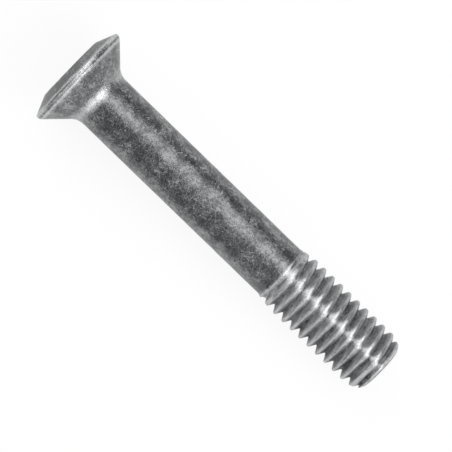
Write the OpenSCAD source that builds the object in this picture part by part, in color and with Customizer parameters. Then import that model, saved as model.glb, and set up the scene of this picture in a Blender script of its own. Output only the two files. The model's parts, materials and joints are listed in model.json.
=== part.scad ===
// Countersunk machine screw with a bevelled head, lying on its side as it comes to rest.
// It is one headed and rolled piece of steel: a flat-topped head with a hex socket, a 90 degree
// seat, a neck radius, a plain shank and a right-hand thread that is wider than the shank.
// X runs from the head to the tip and Z is up. The origin is on the ground, below the middle.

/* [Head] */
// Diameter across the rim of the head
head_d = 15.6; // [14:0.1:20]
// Diameter of the flat on top of the head
top_d = 9.8; // [8:0.1:12]
// Height of the bevel from the rim up to that flat
bevel_h = 1.2; // [0.6:0.05:2.5]
// Height of the straight rim between the bevel and the seat
rim_h = 0.6; // [0.4:0.05:1.5]
// Radius that breaks the two edges of the rim
rim_round = 0.25; // [0.05:0.05:0.35]
// Full angle of the countersunk seat
seat_angle = 90; // [80:1:100]

/* [Drive] */
// Width of the hex socket across its flats
socket_af = 5.56; // [4:0.02:6.5]
// Depth of the socket's flats
socket_depth = 3.8; // [2:0.1:4.6]
// Width of the chamfer round the socket's mouth
socket_lead = 0.25; // [0.1:0.05:0.5]

/* [Shank] */
// Length from the upper edge of the rim to the tip
length = 57.15; // [40:0.05:90]
// Diameter of the plain shank
shank_d = 8.25; // [7.8:0.05:9]
// Radius of the neck between the seat and the shank
neck_round = 2.7; // [0.5:0.1:4]

/* [Thread] */
// Diameter over the crests
thread_d = 9.3; // [9.1:0.05:10.5]
// Distance from one crest to the next
pitch = 1.5875; // [1:0.0125:1.8]
// Length from the tip to the edge where the rolling starts
thread_len = 19.2; // [12:0.1:30]
// Height of the lip at the edge where the rolling starts
lip_h = 0.14; // [0.05:0.01:0.2]
// Length of that lip along the shank
lip_len = 0.5; // [0.2:0.05:0.8]
// Length over which the crests then grow to their full height
runout_len = 2.5; // [1:0.1:5]
// Turns over which the groove gets its full depth
groove_runout = 0.55; // [0.4:0.05:2]
// Diameter that the chamfer leaves at the tip
point_d = 7.9; // [7:0.1:9]
// Length of the chamfer at the tip
point_len = 2; // [0.5:0.1:3]
// Angle at which the groove leaves the tip, counted from the side that lies on the ground
groove_angle = 31; // [0:1:359]

/* [Hidden] */

// Straight pieces in one turn of the thread, in a rounded corner and round a turned surface
turn_steps = 40;
corner_steps = 6;
round_steps = 96;

// Thread form: flanks at 60 degrees to each other, depth and crest as shares of the pitch
flank_angle = 60;
depth_share = 0.625;
crest_share = 0.12;
thread_depth = depth_share * pitch;
crest_w = crest_share * pitch;
flank_w = thread_depth * tan(flank_angle / 2);
root_w = pitch - crest_w - 2 * flank_w;

head_r = head_d / 2;
top_r = top_d / 2;
shank_r = shank_d / 2;
lip_r = shank_r + lip_h;
thread_r = thread_d / 2;
root_r = thread_r - thread_depth;
point_r = point_d / 2;

// Places along the screw, counted from the flat on top of the head
rim_low = bevel_h + rim_h;
neck_at = rim_low + (head_r - shank_r) / tan(seat_angle / 2);
tip_at = bevel_h + length;
chamfer_at = tip_at - point_len;
thread_at = tip_at - thread_len;
lip_at = thread_at + lip_len;

// At rest the rim and the last full crests touch the ground, so the tip end lies lower
rest_tilt = atan((head_r - thread_r) / (chamfer_at - rim_low));
rest_height = head_r * cos(rest_tilt) + rim_low * sin(rest_tilt);
rest_middle = (tip_at * cos(rest_tilt) + (point_r - top_r) * sin(rest_tilt)) / 2;

steel = [0.42, 0.42, 0.43];

function unit(v) = v / norm(v);
function mix(a, b, share) = a + (b - a) * min(1, max(0, share));

// Points of the arc of radius r that rounds the corner at b between a and c
function corner(a, b, c, r) =
    let (
        to_a = unit(a - b),
        to_c = unit(c - b),
        half = acos(to_a * to_c) / 2,
        middle = b + unit(to_a + to_c) * r / sin(half),
        from = b + to_a * r / tan(half) - middle,
        to = b + to_c * r / tan(half) - middle,
        sweep = sign(from.x * to.y - from.y * to.x) * (180 - 2 * half)
    )
    [for (i = [0 : corner_steps])
        let (turn = sweep * i / corner_steps)
        middle + [from.x * cos(turn) - from.y * sin(turn), from.x * sin(turn) + from.y * cos(turn)]];

// Head and plain shank, turned from their half outline: radius, and distance from the top.
// The shank ends inside the lip of the thread.
module headed_shank() {
    top_edge = [top_r, 0];
    rim_upper = [head_r, bevel_h];
    rim_lower = [head_r, rim_low];
    neck = [shank_r, neck_at];
    shank_end = [shank_r, thread_at + lip_len / 2];
    rotate_extrude($fn = round_steps)
        polygon(concat(
            [[0, 0], top_edge],
            corner(top_edge, rim_upper, rim_lower, rim_round),
            corner(rim_upper, rim_lower, neck, rim_round),
            corner(rim_lower, neck, shank_end, neck_round),
            [shank_end, [0, shank_end.y]]
        ));
}

// Radius over the crests: they grow behind the lip and shrink on the chamfer
function crest_r(at) =
    min(mix(lip_r, thread_r, (at - lip_at) / runout_len),
        mix(thread_r, point_r, (at - chamfer_at) / point_len));

// Radius of the groove's floor where the middle of the groove is at this place
function floor_r(middle) =
    mix(thread_r, root_r, (middle - lip_at) / (pitch * groove_runout));

// Radius of the threaded surface at an angle and a place along the screw
function surface_r(angle, at) =
    let (
        turns = (at - tip_at) / pitch - (angle - groove_angle) / 360,
        off = (turns - round(turns)) * pitch,
        rise = max(0, abs(off) - root_w / 2) / tan(flank_angle / 2)
    )
    min(crest_r(at), floor_r(at - off) + rise);

// Rows of points follow the helix, four to a turn: at the floor and at the top of each flank.
// They run from before the lip to past the tip, and stop at those two planes.
turns_in_all = ceil(thread_len / pitch) + 3;
row_offsets = [-root_w / 2 - flank_w, -root_w / 2, root_w / 2, root_w / 2 + flank_w];
rows_in_turn = len(row_offsets);
row_count = rows_in_turn * turns_in_all;
// Rows that come this close to a plane join it
join = 0.03;

function angle_of(step) = 360 * step / turn_steps;
function row_at(row, step) =
    let (turn = floor(row / rows_in_turn) + 2 - turns_in_all)
    tip_at + pitch * (turn + (angle_of(step) - groove_angle) / 360) + row_offsets[row % rows_in_turn];

first_rows = [for (step = [0 : turn_steps - 1])
    max([for (row = [0 : row_count - 1]) if (row_at(row, step) < lip_at + join) row])];
last_rows = [for (step = [0 : turn_steps - 1])
    min([for (row = [0 : row_count - 1]) if (row_at(row, step) > tip_at - join) row])];

function on_circle(r, step, at) = [r * cos(angle_of(step)), r * sin(angle_of(step)), at];

function row_point(row, step) =
    let (at = row <= first_rows[step] ? lip_at : row >= last_rows[step] ? tip_at : row_at(row, step))
    on_circle(surface_r(angle_of(step), at), step, at);

// Number of the point of a row at a step. After a full turn a row goes on as the next turn's row.
function point_of(row, step) =
    step == turn_steps ? point_of(row + rows_in_turn, 0)
    : turn_steps * min(last_rows[step], max(first_rows[step], row)) + step;

function is_triangle(face) = face[0] != face[1] && face[1] != face[2] && face[2] != face[0];

// Lip, run-out, thread and chamfered tip as one closed form. Its foot lies inside the shank.
module thread() {
    sink = lip_h / 2;
    foot_at = thread_at - lip_len * sink / lip_h;
    steps = [0 : turn_steps - 1];
    foot = row_count * turn_steps;
    foot_middle = foot + turn_steps;
    tip_middle = foot_middle + 1;
    points = concat(
        [for (row = [0 : row_count - 1], step = steps) row_point(row, step)],
        [for (step = steps) on_circle(shank_r - sink, step, foot_at)],
        [[0, 0, foot_at], [0, 0, tip_at]]
    );
    flanks = [
        for (row = [0 : row_count - 2], step = steps)
            let (
                a = point_of(row, step),
                b = point_of(row, step + 1),
                c = point_of(row + 1, step + 1),
                d = point_of(row + 1, step)
            )
            for (face = [[a, c, b], [a, d, c]])
                if (is_triangle(face)) face
    ];
    ends = [
        for (step = steps)
            let (
                f = foot + step,
                next_f = foot + (step + 1) % turn_steps,
                s = point_of(0, step),
                next_s = point_of(0, step + 1),
                e = point_of(row_count, step),
                next_e = point_of(row_count, step + 1)
            )
            each [
                [f, s, next_s],
                [f, next_s, next_f],
                [foot_middle, f, next_f],
                [tip_middle, next_e, e]
            ]
    ];
    polyhedron(points, concat(flanks, ends), convexity = 20);
}

// Hex socket with a chamfered mouth and a drilled point at the bottom
module socket() {
    corner_r = socket_af / sqrt(3);
    mouth_r = corner_r + socket_lead;
    drill_r = socket_af / 2;
    above = 0.5;
    translate([0, 0, -above])
        cylinder(h = socket_depth + above, r = corner_r, $fn = 6);
    translate([0, 0, -above])
        cylinder(h = mouth_r + above, r1 = mouth_r + above, r2 = 0, $fn = round_steps);
    translate([0, 0, socket_depth])
        cylinder(h = drill_r / sqrt(3), r1 = drill_r, r2 = 0, $fn = round_steps);
}

module screw() {
    color(steel)
        translate([-rest_middle, 0, rest_height])
            rotate([0, 90 + rest_tilt, 0])
                difference() {
                    union() {
                        headed_shank();
                        thread();
                    }
                    socket();
                }
}

screw();
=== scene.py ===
"""Countersunk machine screw: the finished look of the part, laid out as an add-on and run as a script.

The screw lies on its side. Z is up, X runs from the head to the tip, and all lengths are in metres.
Its own axis is counted from the flat on top of the head, as "place", towards the tip.
"""

import json
import math

import bmesh
import bpy
from bpy.props import FloatProperty, FloatVectorProperty, IntProperty, PointerProperty
from mathutils import Matrix, Vector


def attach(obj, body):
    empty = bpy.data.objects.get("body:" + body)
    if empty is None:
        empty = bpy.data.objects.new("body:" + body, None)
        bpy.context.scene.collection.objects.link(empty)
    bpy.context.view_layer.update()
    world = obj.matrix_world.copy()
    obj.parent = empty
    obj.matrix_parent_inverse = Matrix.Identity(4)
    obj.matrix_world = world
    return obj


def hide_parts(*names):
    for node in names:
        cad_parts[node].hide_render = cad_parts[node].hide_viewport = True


bl_info = {
    "name": "Countersunk Machine Screw",
    "version": (1, 0, 0),
    "blender": (4, 5, 0),
    "location": "View3D > Sidebar > Screw",
    "description": "Makes a countersunk machine screw with a rolled thread, and a studio to show it in",
    "category": "Add Mesh",
}

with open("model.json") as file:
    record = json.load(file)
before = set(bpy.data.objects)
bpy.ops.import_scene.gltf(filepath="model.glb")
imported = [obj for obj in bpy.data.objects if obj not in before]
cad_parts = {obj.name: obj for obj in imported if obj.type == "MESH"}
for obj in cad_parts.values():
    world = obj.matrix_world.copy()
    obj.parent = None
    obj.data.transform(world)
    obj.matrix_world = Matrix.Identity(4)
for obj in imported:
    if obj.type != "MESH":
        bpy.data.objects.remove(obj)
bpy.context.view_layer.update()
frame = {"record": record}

MM = 0.001
TURN = 2 * math.pi
FLANK_ANGLE = math.radians(30)
SHARP_ANGLE = math.radians(38)
WELD_GAP = 0.002 * MM

# How far these are rubbed bright: 1 is bright, 0 is dull, and below 0 only the strongest patches shine. The
# top's value is partly a painted shade, and the rim's and the neck's partly a painted highlight
# Painted shade: the head's top, bevel, rim land and socket are kept dull below 0, standing in for shade in
# the socket and a shadow seen in the bevel
TOP_DULL_AND_PAINTED_SHADE = -0.15
SEAT_BURNISH = 0.13
SHANK_BURNISH = 0.15
# Partly wear and partly a painted highlight: the rim's rounded edges and the neck are brightened where the
# lamps' highlights fall
RIM_BURNISH_AND_PAINTED_HIGHLIGHT = 0.7
NECK_BURNISH_AND_PAINTED_HIGHLIGHT = 0.6
ROOT_BURNISH = 0.6
FLANK_BURNISH = 1.0


def mount(name):
    """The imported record's mount of that name."""
    return next(m for m in frame["record"]["mounts"] if m["name"] == name)


SEAT = mount("countersunk_seat")
SOCKET = mount("drive_socket")
THREAD = mount("thread")


def linear(hex_colour):
    """An sRGB hex colour as linear red, green and blue."""
    channels = [int(hex_colour[i:i + 2], 16) / 255 for i in (0, 2, 4)]
    return [c / 12.92 if c <= 0.04045 else ((c + 0.055) / 1.055) ** 2.4 for c in channels]


def length(name, description, millimetres):
    """A property for a length, with its default given in millimetres."""
    return FloatProperty(
        name=name, description=description, default=millimetres * MM, min=0, unit="LENGTH", precision=5)


def angle(name, description, degrees):
    """A property for an angle, with its default given in degrees."""
    return FloatProperty(name=name, description=description, default=math.radians(degrees), subtype="ANGLE")


def number(name, description, default):
    """A property for a plain number, such as a brightness."""
    return FloatProperty(name=name, description=description, default=default, min=0)


def factor(name, description, default):
    """A property for a number from 0 to 1."""
    return FloatProperty(
        name=name, description=description, default=default, min=0, max=1, subtype="FACTOR")


def colour(name, description, hex_colour):
    """A property for a colour, with its default given as an sRGB hex colour."""
    return FloatVectorProperty(
        name=name, description=description, default=linear(hex_colour), subtype="COLOR")


class ScrewSizes(bpy.types.PropertyGroup):
    """Sizes of the screw"""

    head_d: length("Head", "Diameter across the rim of the head", 2 * SEAT["dims"]["r_mm"])
    top_d: length("Top", "Diameter of the flat on top of the head", 9.8)
    bevel_h: length("Bevel", "Height of the bevel from the rim to that flat", 1.2)
    rim_h: length("Rim", "Height of the straight rim", 0.6)
    rim_round: length("Rim rounding", "Radius of the edge between the bevel and the rim", 0.2)
    seat_round: length("Seat rounding", "Radius of the edge between the rim and the seat", 1.0)
    top_round: length("Top rounding", "Radius of the edge between the flat top and the bevel", 0.8)
    seat_h: length("Seat", "Height of the seat's cone", SEAT["dims"]["length_mm"])
    socket_af: length("Socket", "Width of the hex socket across its flats", 5.56)
    socket_depth: length("Socket depth", "Depth of the socket", SOCKET["dims"]["length_mm"])
    socket_lead: length("Socket lead", "Width of the chamfer round the mouth of the socket", 0.25)
    shank_d: length("Shank", "Diameter of the plain shank", 8.25)
    neck_round: length("Neck", "Radius between the seat and the shank", 2.7)
    thread_d: length("Thread", "Diameter over the crests", 2 * THREAD["dims"]["r_mm"])
    thread_len: length("Thread length", "Length of the rolled end", THREAD["dims"]["length_mm"])
    pitch: length("Pitch", "Distance from one crest to the next", 1.5875)
    thread_depth: length("Depth", "Depth of the groove", 0.992)
    root_w: length("Root", "Width of the groove's floor", 0.1)
    crest_round: length("Crest rounding", "How far the edges of the crests are rounded", 0.2)
    root_round: length("Root rounding", "How far the edges of the floor are rounded", 0.15)
    lip_h: length("Lip", "Height of the lip where the rolling starts", 0.14)
    lip_len: length("Lip length", "Length of that lip along the shank", 0.5)
    runout_len: length("Run-out", "Length over which the crests get their height", 2.5)
    start_angle: angle("Start angle", "Slope of the cone on which the groove starts behind the lip", 24)
    point_d: length("Point", "Diameter that the chamfer leaves at the tip", 7.9)
    point_len: length("Point length", "Length of the chamfer at the tip", 2)
    point_round: length("Point rounding", "Radius of the edge of the end face", 0.6)
    groove_angle: angle("Groove angle", "Where the groove leaves the tip, from the side on the ground", 31)
    unevenness: length("Unevenness", "Height of the low waves that forging and rolling leave", 0.05)
    unevenness_w: length("Unevenness width", "Distance from one such wave to the next", 2.5)
    columns: IntProperty(
        name="Columns", description="Faces round the screw, a multiple of six", default=180)
    rows: IntProperty(name="Rows", description="Faces across one pitch of the thread", default=24)


class SteelFinish(bpy.types.PropertyGroup):
    """Finish of the steel"""

    # Dull steel is also the painted shade on the head's top, bevel and socket, and burnished steel is partly
    # a painted highlight on the rim's edges and round the neck
    dull: colour("Dull", "Steel in the corners that nothing has rubbed", "616263")
    burnished: colour("Burnished", "Steel that the dies and handling have rubbed bright", "d4d5d6")
    bloom: colour("Bloom", "Matt pale specks of zinc on the dull steel", "969798")
    edge_tint: factor("Edge tint", "Share of the full gloss at a grazing angle", 0.85)
    dull_rough: factor("Dull roughness", "Roughness of the dull steel", 0.32)
    burnished_rough: factor("Burnished roughness", "Roughness of the burnished steel", 0.2)
    lined_rough: factor("Lined roughness", "Roughness of the thread with its fine lines", 0.46)
    patches: number("Patches", "How strongly the patches change the shine", 0.8)
    lined_patches: number("Lined patches", "How strongly they do so on the thread", 1.6)
    cloud_w: length("Cloud", "Width of the cloudy patches", 1.5)
    grain_w: length("Grain", "Width of the grain and of the pale specks", 0.36)
    grain_h: length("Grain height", "Height of the relief that grain and clouds make", 0.024)
    line_w: length("Line", "Width of the fine lines along the groove of the thread", 0.2)
    line_h: length("Line height", "Height of the relief that the lines make", 0.1)


class StudioLight(bpy.types.PropertyGroup):
    """Light, board and camera of the studio"""

    strip: number("Strip light", "Brightness of the long light over the screw", 1.45)
    tip: number("Tip light", "Brightness of the light beyond the tip", 2.4)
    side: number("Side light", "Brightness of the broad light beside that", 1.45)
    head: number("Head light", "Brightness of the light beyond the head", 1.0)
    room: number("Room", "Brightness of the room all round", 0.26)
    board_w: length("Board", "Width of the board", 6000)
    # A painted pool of light on the board: white within one radius, pale grey beyond the other
    white: colour("White", "Board round the screw", "f4f4f4")
    painted_pool_r: length("White radius", "Radius within which the board is white", 90)
    pale: colour("Pale", "Board further out", "b4b4b4")
    painted_pool_end_r: length("Pale radius", "Radius from which the board is pale", 200)
    camera_x: FloatProperty(
        name="Camera along", description="Place of the camera along X", default=0.703 * MM, unit="LENGTH")
    camera_y: FloatProperty(
        name="Camera across", description="Place of the camera along Y", default=-0.599 * MM, unit="LENGTH")
    camera_h: length("Camera height", "Height of the camera over the floor", 425.6)
    camera_turn: angle("Camera turn", "How far the picture is turned against the screw", 44.088)
    lens: FloatProperty(
        name="Lens", description="Focal length on the sensor", default=247.4, unit="CAMERA")
    sensor_w: FloatProperty(
        name="Sensor", description="Width of the sensor", default=36, unit="CAMERA")


def add(tree, kind, inputs=None, **settings):
    """Adds a node with its settings. Each input takes a value or another node's socket."""
    node = tree.nodes.new(kind)
    for name, value in settings.items():
        setattr(node, name, value)
    for key, value in (inputs or {}).items():
        if isinstance(value, bpy.types.NodeSocket):
            tree.links.new(value, node.inputs[key])
        else:
            node.inputs[key].default_value = value
    return node


def new_material(name):
    """A material without nodes, and its tree."""
    material = bpy.data.materials.new(name)
    material.use_nodes = True
    material.node_tree.nodes.clear()
    return material, material.node_tree


def zinc_coated_steel(finish):
    """Cold-formed steel with a thin tumbled zinc coat. It is a dull grey metal with cloudy patches, a grain
    of about a third of a millimetre and pale specks of zinc bloom, and it is rubbed smooth and bright where
    the dies pressed it. Its brightness also carries painted light: a painted shade that keeps the head's
    top, bevel and socket dull, and a painted highlight on the rim's edges and round the neck. On the thread
    the patches draw out into fine lines along the groove, as wide as they need to be to show, and these
    spread the gloss along the screw."""
    material, tree = new_material("zinc_coated_steel")
    place = add(tree, "ShaderNodeTexCoord").outputs["Object"]
    burnish_and_painted_light, across, lined = [
        add(tree, "ShaderNodeAttribute", attribute_name=name).outputs["Fac"]
        for name in ("burnish_and_painted_light", "across", "lined")]

    # Clouds and grain, added up to a texture with this mean
    grain_weight = 2.0
    mean = 1.5
    lines = add(tree, "ShaderNodeMath", {
        0: across, 1: finish.cloud_w / finish.line_w}, operation="MULTIPLY").outputs[0]
    clouds = add(tree, "ShaderNodeTexNoise", {
        "Vector": place, "W": lines, "Scale": 1 / finish.cloud_w, "Detail": 2.0},
        noise_dimensions="4D").outputs["Fac"]
    grain = add(tree, "ShaderNodeTexNoise", {
        "Vector": place, "Scale": 1 / finish.grain_w, "Detail": 4.0, "Roughness": 0.65,
        "Distortion": 1.2}).outputs["Fac"]
    texture = add(tree, "ShaderNodeMath", {
        0: grain, 1: grain_weight, 2: clouds}, operation="MULTIPLY_ADD").outputs[0]

    # Colour: the texture shifts how bright the steel is rubbed, with its painted shade and highlight, and
    # where it is highest on dull steel there are specks
    speck_edge = 1.68
    speck_middle = 1.85
    contrast = add(tree, "ShaderNodeMapRange", {
        "Value": lined, "To Min": finish.patches, "To Max": finish.lined_patches}).outputs["Result"]
    patch = add(tree, "ShaderNodeMath", {0: texture, 1: mean}, operation="SUBTRACT").outputs[0]
    shine = add(tree, "ShaderNodeMath", {
        0: patch, 1: contrast, 2: burnish_and_painted_light}, operation="MULTIPLY_ADD", use_clamp=True).outputs[0]
    metal = add(tree, "ShaderNodeMix", {
        "Factor": shine, 6: [*finish.dull, 1], 7: [*finish.burnished, 1]}, data_type="RGBA").outputs[2]
    bare = add(tree, "ShaderNodeMapRange", {
        "Value": texture, "From Min": speck_edge, "From Max": speck_middle,
        "To Min": 1.0, "To Max": 0.0}).outputs["Result"]
    metallic = add(tree, "ShaderNodeMath", {0: bare, 1: burnish_and_painted_light}, operation="MAXIMUM").outputs[0]
    base = add(tree, "ShaderNodeMix", {
        "Factor": metallic, 6: [*finish.bloom, 1], 7: metal}, data_type="RGBA").outputs[2]

    # Gloss and relief: on the thread the lines take the place of most of the grain
    line_share = 0.88
    quarter_turn = 0.25
    edge = finish.edge_tint
    rubbed = add(tree, "ShaderNodeMapRange", {
        "Value": burnish_and_painted_light, "To Min": finish.dull_rough, "To Max": finish.burnished_rough}).outputs["Result"]
    rough = add(tree, "ShaderNodeMapRange", {
        "Value": lined, "To Min": rubbed, "To Max": finish.lined_rough}).outputs["Result"]
    drawn = add(tree, "ShaderNodeMath", {0: lined, 1: line_share}, operation="MULTIPLY").outputs[0]
    height = add(tree, "ShaderNodeMix", {
        "Factor": drawn, 2: texture, 3: clouds}, data_type="FLOAT").outputs[0]
    depth = add(tree, "ShaderNodeMapRange", {
        "Value": lined, "To Min": finish.grain_h, "To Max": finish.line_h}).outputs["Result"]
    relief = add(tree, "ShaderNodeBump", {
        "Strength": 1.0, "Distance": depth, "Height": height}).outputs["Normal"]
    round_axis = add(tree, "ShaderNodeTangent", direction_type="RADIAL", axis="X").outputs[0]
    shader = add(tree, "ShaderNodeBsdfPrincipled", {
        "Base Color": base, "Metallic": metallic, "Roughness": rough, "Normal": relief,
        "Specular Tint": [edge, edge, edge, 1], "Anisotropic": lined,
        "Anisotropic Rotation": quarter_turn, "Tangent": round_axis})
    add(tree, "ShaderNodeOutputMaterial", {"Surface": shader.outputs[0]})
    return material


def board_with_painted_pool(studio):
    """Matt card with a painted pool of light: round the object it is white and glows, and further out it
    fades to pale grey without glow. The white shows to the camera and in the metal, and keeps a soft shadow."""
    material, tree = new_material("board_with_painted_pool")
    place = add(tree, "ShaderNodeTexCoord").outputs["Object"]
    away = add(tree, "ShaderNodeVectorMath", {0: place}, operation="LENGTH").outputs["Value"]
    # Painted pool of light: whiter card and glow within one radius, fading to pale grey card by the other
    painted_pool = add(tree, "ShaderNodeMapRange", {
        "Value": away, "From Min": studio.painted_pool_r, "From Max": studio.painted_pool_end_r, "To Min": 1.0, "To Max": 0.0},
        interpolation_type="SMOOTHSTEP").outputs["Result"]
    tone = add(tree, "ShaderNodeMix", {
        "Factor": painted_pool, 6: [*studio.pale, 1], 7: [*studio.white, 1]}, data_type="RGBA").outputs[2]
    card = add(tree, "ShaderNodeBsdfDiffuse", {"Color": tone}).outputs[0]
    glow = add(tree, "ShaderNodeEmission", {"Strength": 1.0}).outputs[0]
    ray = add(tree, "ShaderNodeLightPath").outputs
    seen = add(tree, "ShaderNodeMath", {
        0: ray["Is Camera Ray"], 1: ray["Is Glossy Ray"]}, operation="MAXIMUM").outputs[0]
    shown = add(tree, "ShaderNodeMath", {
        0: seen, 1: ray["Is Transmission Ray"]}, operation="MAXIMUM").outputs[0]
    glow_share = 0.9
    painted_pool_glow = add(tree, "ShaderNodeMath", {0: painted_pool, 1: glow_share}, operation="MULTIPLY").outputs[0]
    shown_glow = add(tree, "ShaderNodeMath", {0: shown, 1: painted_pool_glow}, operation="MULTIPLY").outputs[0]
    surface = add(tree, "ShaderNodeMixShader", {0: shown_glow, 1: card, 2: glow})
    add(tree, "ShaderNodeOutputMaterial", {"Surface": surface.outputs[0]})
    return material


def arc(before, corner, after, radius, steps=8):
    """Points (radius, place) of the arc that rounds a corner of the outline."""
    before, corner, after = Vector(before), Vector(corner), Vector(after)
    to_before = (before - corner).normalized()
    to_after = (after - corner).normalized()
    half = to_before.angle(to_after) / 2
    middle = corner + (to_before + to_after).normalized() * radius / math.sin(half)
    start = corner + to_before * radius / math.tan(half) - middle
    end = corner + to_after * radius / math.tan(half) - middle
    sweep = math.copysign(math.pi - 2 * half, start.cross(end))
    return [tuple(middle + Matrix.Rotation(sweep * i / steps, 2) @ start) for i in range(steps + 1)]


def straight(start, end, spacing):
    """Points between two points of the outline, evenly spaced, without the end points."""
    start, end = Vector(start), Vector(end)
    count = max(1, round((end - start).length / spacing))
    return [tuple(start.lerp(end, i / count)) for i in range(1, count)]


def outline(sizes, thread_place):
    """Half outline of the blank from the flat top to the thread, as points (radius, place)."""
    head_r = sizes.head_d / 2
    shank_r = sizes.shank_d / 2
    rim_low = sizes.bevel_h + sizes.rim_h
    mouth = (sizes.socket_af / math.sqrt(3) + sizes.socket_lead, 0)
    top_edge = (sizes.top_d / 2, 0)
    rim_upper = (head_r, sizes.bevel_h)
    rim_lower = (head_r, rim_low)
    neck = (shank_r, rim_low + sizes.seat_h)
    shank_end = (shank_r, thread_place)
    corners = [
        arc(mouth, top_edge, rim_upper, sizes.top_round),
        arc(top_edge, rim_upper, rim_lower, sizes.rim_round),
        arc(rim_upper, rim_lower, neck, sizes.seat_round),
        arc(rim_lower, neck, shank_end, sizes.neck_round, steps=16),
    ]
    spacing = 0.4 * MM
    points = [mouth]
    for corner in corners + [[shank_end]]:
        points += straight(points[-1], corner[0], spacing) + corner
    return points


def blank_rows(sizes, thread_place):
    """Rows of the blank: for each row a radius and a place for every column, from the socket outwards."""
    angles = [TURN * i / sizes.columns for i in range(sizes.columns)]
    flat = sizes.socket_af / 2
    mouth = flat / math.cos(TURN / 12) + sizes.socket_lead
    hexagon = [flat / math.cos(a % (TURN / 6) - TURN / 12) for a in angles]
    drilled = [[(flat * part, sizes.socket_depth + flat * (1 - part) / math.sqrt(3)) for a in angles]
               for part in (0.5, 1)]
    walls = [[(r, mouth - r + (sizes.socket_depth - mouth + r) * part) for r in hexagon]
             for part in (1, 0.75, 0.5, 0.25, 0)]
    turned = [[point] * sizes.columns for point in outline(sizes, thread_place)]
    return drilled + walls + turned


def bright_strip(place, middle, full, fade):
    """How bright a strip is: 1 up to a distance from its middle, and falling by 1 over each fade beyond."""
    return min(1, (full + fade - abs(place - middle)) / fade)


def burnish_and_painted_light_of(sizes, radius, place):
    """How far the blank is rubbed bright, with painted light in it: most on the edges of the rim and in the
    neck, partly as a painted highlight, then on the shank and the seat, and least on the top with its bevel
    and socket, kept dull as a painted shade."""
    rim_low = sizes.bevel_h + sizes.rim_h
    neck_middle = rim_low + sizes.seat_h
    inside_head = 0.9 * sizes.shank_d / 2
    if place < sizes.bevel_h / 2 or radius < inside_head:
        return TOP_DULL_AND_PAINTED_SHADE
    # Bright strips on the rim's two rounded edges and round the neck: partly wear, partly a painted
    # highlight
    upper_edge = bright_strip(place, middle=sizes.bevel_h + 0.12 * MM, full=0.15 * MM, fade=0.3 * MM)
    lower_edge = bright_strip(place, middle=rim_low + 0.3 * MM, full=0.1 * MM, fade=0.25 * MM)
    neck = bright_strip(place, middle=neck_middle, full=0, fade=1.5 * MM)
    # Painted shade: the bevel and the rim's land between the strips take the top's dull value
    plain = TOP_DULL_AND_PAINTED_SHADE if place < rim_low else SEAT_BURNISH if place < neck_middle else SHANK_BURNISH
    return max(RIM_BURNISH_AND_PAINTED_HIGHLIGHT * upper_edge, RIM_BURNISH_AND_PAINTED_HIGHLIGHT * lower_edge, NECK_BURNISH_AND_PAINTED_HIGHLIGHT * neck, plain)


def blank_mesh(sizes, thread_place):
    """The head with its socket, the neck and the plain shank, open where the thread begins."""
    mesh = bpy.data.meshes.new("blank")
    shape = bmesh.new()
    burnish_and_painted_light = shape.verts.layers.float.new("burnish_and_painted_light")
    rows = []
    for row in blank_rows(sizes, thread_place):
        rows.append([])
        for i, (radius, place) in enumerate(row):
            around = TURN * i / sizes.columns
            vert = shape.verts.new((radius * math.cos(around), radius * math.sin(around), place))
            # Wear with painted light: a painted shade on the top and a painted highlight on the rim's edges
            # and neck
            vert[burnish_and_painted_light] = burnish_and_painted_light_of(sizes, radius, place)
            rows[-1].append(vert)
    drill_point = shape.verts.new((0, 0, sizes.socket_depth + sizes.socket_af / 2 / math.sqrt(3)))
    for i in range(sizes.columns):
        following = (i + 1) % sizes.columns
        shape.faces.new((drill_point, rows[0][i], rows[0][following]))
        for inner, outer in zip(rows, rows[1:]):
            shape.faces.new((inner[i], outer[i], outer[following], inner[following]))
    bmesh.ops.recalc_face_normals(shape, faces=shape.faces)
    shape.to_mesh(mesh)
    shape.free()
    return mesh


def thread_values(sizes, places, material):
    """What the thread's tree takes from the sizes, by the names of its inputs."""
    turns = 2 * math.ceil(sizes.thread_len / sizes.pitch / 2 + 1.5)
    turns_to_middle = round((sizes.thread_len / sizes.pitch - 1) / 2) + sizes.groove_angle / TURN
    return {
        "Turns": turns,
        "Columns": sizes.columns,
        "Rows": sizes.rows,
        "Pitch": sizes.pitch,
        "Groove place": places["tip"] - sizes.pitch * turns_to_middle,
        "Thread place": places["thread"],
        "Lip place": places["thread"] + sizes.lip_len,
        "Full place": places["thread"] + sizes.lip_len + sizes.runout_len,
        "Start slope": -math.tan(sizes.start_angle),
        "Chamfer place": places["tip"] - sizes.point_len,
        "Tip place": places["tip"],
        "Shank radius": sizes.shank_d / 2,
        "Lip radius": sizes.shank_d / 2 + sizes.lip_h,
        "Crest radius": sizes.thread_d / 2,
        "Root radius": sizes.thread_d / 2 - sizes.thread_depth,
        "Point radius": sizes.point_d / 2,
        "Point rounding": sizes.point_round,
        "Root half width": sizes.root_w / 2,
        "Crest rounding": sizes.crest_round,
        "Root rounding": sizes.root_round,
        "Unevenness": sizes.unevenness,
        "Unevenness width": sizes.unevenness_w,
        "Material": material,
    }


def socket_kind(value):
    """The kind of input that takes a value."""
    if isinstance(value, bpy.types.Material):
        return "NodeSocketMaterial"
    return "NodeSocketInt" if isinstance(value, int) else "NodeSocketFloat"


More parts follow.
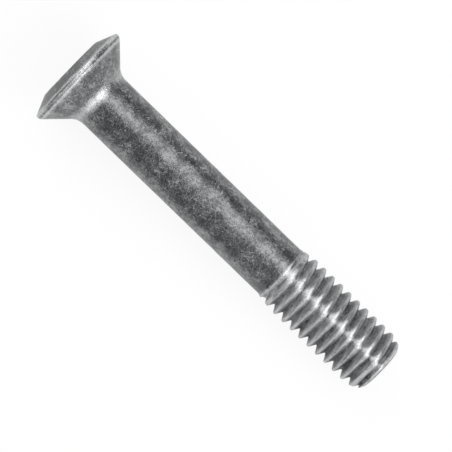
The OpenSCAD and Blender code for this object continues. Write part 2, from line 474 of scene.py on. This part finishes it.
def thread_tree(values):
    """Geometry Nodes that roll a thread on the end of a blank: a grid of turns is wound up along the helix,
    its two ends are cut off at the thread's start and at the tip, and rows past the tip close the end."""
    tree = bpy.data.node_groups.new("rolled_thread", "GeometryNodeTree")
    tree.interface.new_socket("Geometry", in_out="INPUT", socket_type="NodeSocketGeometry")
    for name, value in values.items():
        tree.interface.new_socket(name, in_out="INPUT", socket_type=socket_kind(value))
    tree.interface.new_socket("Geometry", in_out="OUTPUT", socket_type="NodeSocketGeometry")
    given = tree.nodes.new("NodeGroupInput").outputs

    # A flat strip: X counts turns, Y is the distance from the middle of the groove
    strip_columns = add(tree, "ShaderNodeMath", {
        0: given["Turns"], 1: given["Columns"], 2: 1.0}, operation="MULTIPLY_ADD").outputs[0]
    strip_rows = add(tree, "ShaderNodeMath", {0: given["Rows"], 1: 1.0}, operation="ADD").outputs[0]
    strip = add(tree, "GeometryNodeMeshGrid", {
        "Size X": given["Turns"], "Size Y": given["Pitch"],
        "Vertices X": strip_columns, "Vertices Y": strip_rows}).outputs["Mesh"]
    position = add(tree, "GeometryNodeInputPosition").outputs[0]
    on_strip = add(tree, "ShaderNodeSeparateXYZ", {0: position}).outputs
    turn = on_strip["X"]

    # Place along the screw, kept between the thread's start and the tip
    middle = add(tree, "ShaderNodeMath", {
        0: turn, 1: given["Pitch"], 2: given["Groove place"]}, operation="MULTIPLY_ADD").outputs[0]
    free_place = add(tree, "ShaderNodeMath", {0: middle, 1: on_strip["Y"]}, operation="ADD").outputs[0]
    place = add(tree, "ShaderNodeClamp", {
        "Value": free_place, "Min": given["Thread place"], "Max": given["Tip place"]}).outputs[0]

    # Distance from the middle of the nearest groove
    beyond = add(tree, "ShaderNodeMath", {0: place, 1: middle}, operation="SUBTRACT").outputs[0]
    half_pitch = add(tree, "ShaderNodeMath", {0: given["Pitch"], 1: 0.5}, operation="MULTIPLY").outputs[0]
    other_half = add(tree, "ShaderNodeMath", {0: half_pitch, 1: -1.0}, operation="MULTIPLY").outputs[0]
    off = add(tree, "ShaderNodeMath", {
        0: beyond, 1: half_pitch, 2: other_half}, operation="WRAP").outputs[0]
    distance = add(tree, "ShaderNodeMath", {0: off}, operation="ABSOLUTE").outputs[0]

    # Radius over the crests: the lip, the growth behind it, and the chamfer with its rounded edge
    up_lip = add(tree, "ShaderNodeMapRange", {
        "Value": place, "From Min": given["Thread place"], "From Max": given["Lip place"]}).outputs["Result"]
    lip_bend = add(tree, "ShaderNodeMath", {0: up_lip, 1: 3.0}, operation="POWER").outputs[0]
    lip = add(tree, "ShaderNodeMapRange", {
        "Value": lip_bend, "To Min": given["Shank radius"], "To Max": given["Lip radius"]}).outputs["Result"]
    growth = add(tree, "ShaderNodeMapRange", {
        "Value": place, "From Min": given["Lip place"], "From Max": given["Full place"]}).outputs["Result"]
    behind_lip = add(tree, "ShaderNodeMath", {
        0: given["Crest radius"], 1: given["Lip radius"]}, operation="SUBTRACT").outputs[0]
    grown = add(tree, "ShaderNodeMath", {
        0: growth, 1: behind_lip, 2: lip}, operation="MULTIPLY_ADD").outputs[0]
    chamfer = add(tree, "ShaderNodeMapRange", {
        "Value": place, "From Min": given["Chamfer place"], "From Max": given["Tip place"],
        "To Min": given["Crest radius"], "To Max": given["Point radius"]}).outputs["Result"]
    before_tip = add(tree, "ShaderNodeMath", {
        0: given["Tip place"], 1: given["Point rounding"]}, operation="SUBTRACT").outputs[0]
    into_edge = add(tree, "ShaderNodeMapRange", {
        "Value": place, "From Min": before_tip, "From Max": given["Tip place"]}).outputs["Result"]
    bend = add(tree, "ShaderNodeMath", {0: into_edge, 1: 2.0}, operation="POWER").outputs[0]
    rounded = add(tree, "ShaderNodeMath", {
        0: bend, 1: given["Point rounding"]}, operation="MULTIPLY").outputs[0]
    edge = add(tree, "ShaderNodeMath", {0: chamfer, 1: rounded}, operation="SUBTRACT").outputs[0]
    crest = add(tree, "ShaderNodeMath", {0: grown, 1: edge}, operation="MINIMUM").outputs[0]

    # Radius in the groove: its floor, the flanks on either side, and the cone where it starts
    past_floor = add(tree, "ShaderNodeMath", {
        0: distance, 1: given["Root half width"]}, operation="SUBTRACT").outputs[0]
    flank = add(tree, "ShaderNodeMath", {
        0: past_floor, 1: math.tan(FLANK_ANGLE)}, operation="DIVIDE").outputs[0]
    rise = add(tree, "ShaderNodeMath", {
        0: flank, 1: 0.0, 2: given["Root rounding"]}, operation="SMOOTH_MAX").outputs[0]
    full_groove = add(tree, "ShaderNodeMath", {
        0: given["Root radius"], 1: rise}, operation="ADD").outputs[0]
    past_lip = add(tree, "ShaderNodeMath", {
        0: place, 1: given["Lip place"]}, operation="SUBTRACT").outputs[0]
    start = add(tree, "ShaderNodeMath", {
        0: past_lip, 1: given["Start slope"], 2: given["Lip radius"]}, operation="MULTIPLY_ADD").outputs[0]
    in_groove = add(tree, "ShaderNodeMath", {
        0: full_groove, 1: start, 2: given["Root rounding"]}, operation="SMOOTH_MAX").outputs[0]
    radius = add(tree, "ShaderNodeMath", {
        0: crest, 1: in_groove, 2: given["Crest rounding"]}, operation="SMOOTH_MIN").outputs[0]

    # Rows past the tip draw in to the axis and close the end face, after one row on its edge
    edge_rows = 1.01
    least_share = 0.08
    row_w = add(tree, "ShaderNodeMath", {
        0: given["Pitch"], 1: given["Rows"]}, operation="DIVIDE").outputs[0]
    edge_end = add(tree, "ShaderNodeMath", {
        0: row_w, 1: edge_rows, 2: given["Tip place"]}, operation="MULTIPLY_ADD").outputs[0]
    centre = add(tree, "ShaderNodeMath", {0: edge_end, 1: given["Pitch"]}, operation="ADD").outputs[0]
    kept = add(tree, "ShaderNodeMapRange", {
        "Value": free_place, "From Min": edge_end, "From Max": centre,
        "To Min": 1.0, "To Max": 0.0}).outputs["Result"]
    off_axis = add(tree, "ShaderNodeMath", {0: kept, 1: least_share}, operation="GREATER_THAN").outputs[0]
    kept_share = add(tree, "ShaderNodeMath", {0: kept, 1: off_axis}, operation="MULTIPLY").outputs[0]
    final_radius = add(tree, "ShaderNodeMath", {0: radius, 1: kept_share}, operation="MULTIPLY").outputs[0]

    # Burnish and fine lines, which the rolling leaves between the shank and the end face
    bright_rise = 0.4 * MM
    thread_burnish = add(tree, "ShaderNodeMapRange", {
        "Value": rise, "From Max": bright_rise,
        "To Min": ROOT_BURNISH, "To Max": FLANK_BURNISH}).outputs["Result"]
    before_end = add(tree, "ShaderNodeMath", {0: 1.0, 1: bend}, operation="SUBTRACT").outputs[0]
    rolled = add(tree, "ShaderNodeMath", {0: lip_bend, 1: before_end}, operation="MULTIPLY").outputs[0]
    burnish_and_painted_light = add(tree, "ShaderNodeMapRange", {
        "Value": rolled, "To Min": SHANK_BURNISH, "To Max": thread_burnish}).outputs["Result"]
    across = add(tree, "ShaderNodeMath", {0: distance, 1: rolled}, operation="MULTIPLY").outputs[0]
    marked = strip
    for name, value in (("burnish_and_painted_light", burnish_and_painted_light), ("across", across), ("lined", rolled)):
        marked = add(tree, "GeometryNodeStoreNamedAttribute", {
            "Geometry": marked, "Name": name, "Value": value}, data_type="FLOAT", domain="POINT").outputs[0]

    # Wind the strip up
    around = add(tree, "ShaderNodeMath", {0: turn, 1: TURN}, operation="MULTIPLY").outputs[0]
    cosine = add(tree, "ShaderNodeMath", {0: around}, operation="COSINE").outputs[0]
    sine = add(tree, "ShaderNodeMath", {0: around}, operation="SINE").outputs[0]
    x = add(tree, "ShaderNodeMath", {0: final_radius, 1: cosine}, operation="MULTIPLY").outputs[0]
    y = add(tree, "ShaderNodeMath", {0: final_radius, 1: sine}, operation="MULTIPLY").outputs[0]
    wound_place = add(tree, "ShaderNodeCombineXYZ", {"X": x, "Y": y, "Z": place}).outputs[0]
    wound = add(tree, "GeometryNodeSetPosition", {"Geometry": marked, "Position": wound_place}).outputs[0]

    # Weld it to the blank and give the whole screw its low waves
    joined = add(tree, "GeometryNodeJoinGeometry", {0: wound})
    tree.links.new(given["Geometry"], joined.inputs[0])
    welded = add(tree, "GeometryNodeMergeByDistance", {
        "Geometry": joined.outputs[0], "Distance": WELD_GAP}).outputs[0]
    wave_scale = add(tree, "ShaderNodeMath", {
        0: 1.0, 1: given["Unevenness width"]}, operation="DIVIDE").outputs[0]
    wave = add(tree, "ShaderNodeTexNoise", {
        "Vector": position, "Scale": wave_scale, "Detail": 1.0}).outputs["Fac"]
    below_top = add(tree, "ShaderNodeMath", {0: wave, 1: 1.0}, operation="SUBTRACT").outputs[0]
    wave_depth = add(tree, "ShaderNodeMath", {
        0: below_top, 1: given["Unevenness"]}, operation="MULTIPLY").outputs[0]
    normal = add(tree, "GeometryNodeInputNormal").outputs[0]
    lowered = add(tree, "ShaderNodeVectorMath", {
        0: normal, "Scale": wave_depth}, operation="SCALE").outputs[0]
    waved = add(tree, "GeometryNodeSetPosition", {"Geometry": welded, "Offset": lowered}).outputs[0]
    smooth = add(tree, "GeometryNodeSetShadeSmooth", {"Geometry": waved}).outputs[0]
    real = add(tree, "GeometryNodeRealizeInstances", {"Geometry": smooth}).outputs[0]
    dressed = add(tree, "GeometryNodeSetMaterial", {
        "Geometry": real, "Material": given["Material"]}).outputs[0]
    add(tree, "NodeGroupOutput", {0: dressed})
    return tree


def roll_thread(blank, values):
    """The blank with its thread, as a plain mesh."""
    modifier = blank.modifiers.new("rolled_thread", "NODES")
    modifier.node_group = thread_tree(values)
    for item in modifier.node_group.interface.items_tree:
        if item.in_out == "INPUT" and item.name in values:
            modifier[item.identifier] = values[item.name]
    depsgraph = bpy.context.evaluated_depsgraph_get()
    mesh = bpy.data.meshes.new_from_object(blank.evaluated_get(depsgraph))
    blank.modifiers.remove(modifier)
    return mesh


def sharpen(mesh, least_turn):
    """Marks the edges that turn by more than an angle, so that they stay crisp."""
    shape = bmesh.new()
    shape.from_mesh(mesh)
    for edge in shape.edges:
        if not edge.is_manifold:
            raise RuntimeError("the screw's mesh is not closed")
        edge.smooth = edge.calc_face_angle() < least_turn
    shape.to_mesh(mesh)
    shape.free()


def lying_pose():
    """Turns the screw's own frame, with its axis up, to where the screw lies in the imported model."""
    axis = Vector(THREAD["axis"]).normalized()
    across = Vector((0, 1, 0))
    down = across.cross(axis)
    turned = Matrix((down, across, axis)).transposed().to_4x4()
    return Matrix.Translation(Vector(SOCKET["pos_m"])) @ turned


class SCREW_OT_screw(bpy.types.Operator):
    """Make the screw: turn its blank, roll its thread and lay it down"""

    bl_idname = "machine_screw.screw"
    bl_label = "Make Screw"

    def execute(self, context):
        sizes = context.scene.screw_sizes
        material = zinc_coated_steel(context.scene.screw_finish)
        axis = Vector(THREAD["axis"]).normalized()
        to_middle = (Vector(THREAD["pos_m"]) - Vector(SOCKET["pos_m"])).dot(axis)
        places = {"thread": to_middle - sizes.thread_len / 2, "tip": to_middle + sizes.thread_len / 2}
        screw = bpy.data.objects.new("machine_screw", blank_mesh(sizes, places["thread"]))
        context.scene.collection.objects.link(screw)
        screw.data = roll_thread(screw, thread_values(sizes, places, material))
        sharpen(screw.data, SHARP_ANGLE)
        screw.data.transform(lying_pose())
        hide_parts("screw")
        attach(screw, "root")
        return {"FINISHED"}


def board(context, studio):
    """The board that the screw lies on."""
    half = studio.board_w / 2
    mesh = bpy.data.meshes.new("board")
    mesh.from_pydata(
        [(-half, -half, 0), (half, -half, 0), (half, half, 0), (-half, half, 0)], [], [(0, 1, 2, 3)])
    mesh.materials.append(board_with_painted_pool(studio))
    floor = bpy.data.objects.new("board", mesh)
    context.scene.collection.objects.link(floor)


def room(context, studio):
    """Even light from all round."""
    world = bpy.data.worlds.new("room")
    world.use_nodes = True
    background = world.node_tree.nodes["Background"]
    background.inputs["Color"].default_value = (1, 1, 1, 1)
    background.inputs["Strength"].default_value = studio.room
    context.scene.world = world


def lamp(context, name, place, turn, size, brightness):
    """A soft rectangular lamp that faces down until it is turned, by degrees. Brightness is how bright its
    face is, where 1 is white."""
    light = bpy.data.lights.new(name, "AREA")
    light.shape = "RECTANGLE"
    light.size, light.size_y = size
    light.energy = brightness * math.pi * size[0] * size[1]
    lamp_object = bpy.data.objects.new(name, light)
    lamp_object.location = place
    lamp_object.rotation_euler = [math.radians(t) for t in turn]
    lamp_object.visible_camera = False
    context.scene.collection.objects.link(lamp_object)


def camera(context, studio):
    """The camera, which looks straight down."""
    view = bpy.data.cameras.new("camera")
    view.sensor_width = studio.sensor_w
    view.lens = studio.lens
    camera_object = bpy.data.objects.new("camera", view)
    camera_object.location = (studio.camera_x, studio.camera_y, studio.camera_h)
    camera_object.rotation_euler = (0, 0, studio.camera_turn)
    context.scene.collection.objects.link(camera_object)
    context.scene.camera = camera_object


class SCREW_OT_stage(bpy.types.Operator):
    """Set up the white board, the lamps and the camera that looks straight down"""

    bl_idname = "machine_screw.stage"
    bl_label = "Set Up Studio"

    def execute(self, context):
        studio = context.scene.screw_studio
        context.scene.view_settings.view_transform = "Standard"
        board(context, studio)
        room(context, studio)

        # Each lamp with its place and its turn in degrees, its width and height, and its brightness
        lamp(context, "strip_light", (0.65, 0.284, 0.6), (0, 0, -8), (3.9, 0.62), studio.strip)
        lamp(context, "tip_light", (0.6, 0.16, 0.75), (0, 90, 0), (1.1, 0.38), studio.tip)
        lamp(context, "side_light", (0.6, -0.815, 0.665), (0, 90, 0), (1.27, 1.57), studio.side)
        lamp(context, "head_light", (-0.6, 0.25, 0.65), (0, -90, 0), (1.2, 0.8), studio.head)

        camera(context, studio)
        return {"FINISHED"}


class SCREW_PT_panel(bpy.types.Panel):
    """Sizes, finish and studio of the screw"""

    bl_idname = "SCREW_PT_panel"
    bl_label = "Machine Screw"
    bl_space_type = "VIEW_3D"
    bl_region_type = "UI"
    bl_category = "Screw"

    def draw(self, context):
        for group, operator in (
            (context.scene.screw_sizes, None),
            (context.scene.screw_finish, SCREW_OT_screw),
            (context.scene.screw_studio, SCREW_OT_stage),
        ):
            for name in group.__annotations__:
                self.layout.prop(group, name)
            if operator:
                self.layout.operator(operator.bl_idname)


CLASSES = (ScrewSizes, SteelFinish, StudioLight, SCREW_OT_screw, SCREW_OT_stage, SCREW_PT_panel)


def register():
    for cls in CLASSES:
        bpy.utils.register_class(cls)
    bpy.types.Scene.screw_sizes = PointerProperty(type=ScrewSizes)
    bpy.types.Scene.screw_finish = PointerProperty(type=SteelFinish)
    bpy.types.Scene.screw_studio = PointerProperty(type=StudioLight)


def unregister():
    del bpy.types.Scene.screw_studio
    del bpy.types.Scene.screw_finish
    del bpy.types.Scene.screw_sizes
    for cls in reversed(CLASSES):
        bpy.utils.unregister_class(cls)


def main():
    register()
    bpy.ops.machine_screw.screw()
    bpy.ops.machine_screw.stage()


if __name__ == "__main__":
    main()
